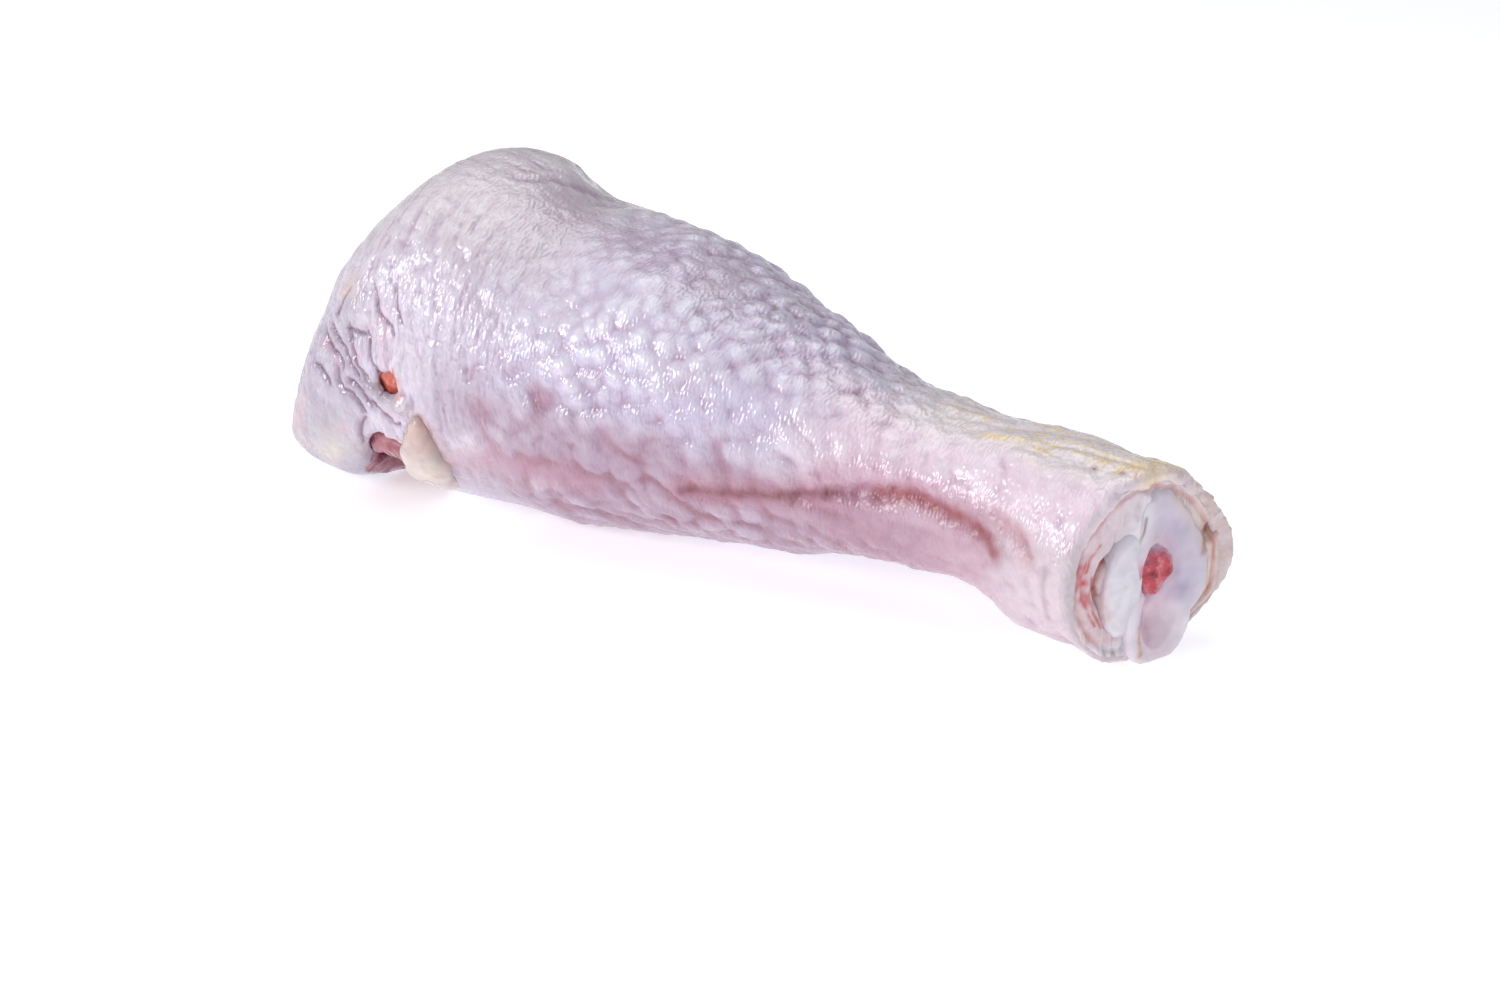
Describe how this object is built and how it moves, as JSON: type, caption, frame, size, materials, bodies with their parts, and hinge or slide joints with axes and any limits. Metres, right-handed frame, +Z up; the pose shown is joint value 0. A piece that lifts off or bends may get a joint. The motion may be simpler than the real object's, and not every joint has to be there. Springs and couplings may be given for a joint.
{
  "type": "raw chicken drumstick",
  "caption": "Raw chicken drumstick lying on its side, with wrinkled skin open at the thick end and a cut joint with cartilage at the thin end.",
  "frame": {"origin": "middle of the footprint, on the surface that the drumstick lies on", "axes": "+X along the leg from the thick end to the cut joint, +Z up, the shown side with the open skin faces -Y"},
  "size_m": [0.1396, 0.0486, 0.0498],
  "materials": {
    "skin": "wet, translucent, pale pink-lavender skin",
    "meat": "wet, dark pink meat",
    "fat": "satin, cream-yellow fat",
    "bone": "rough, red spongy bone",
    "cartilage": "smooth, wet, bluish white cartilage",
    "tendon": "wet, white tendon"
  },
  "bodies": {
    "root": {"skin": "skin", "meat": "meat", "fat": "fat", "bone": "bone", "cartilage": "cartilage", "tendon": "tendon"}
  },
  "joints": []
}
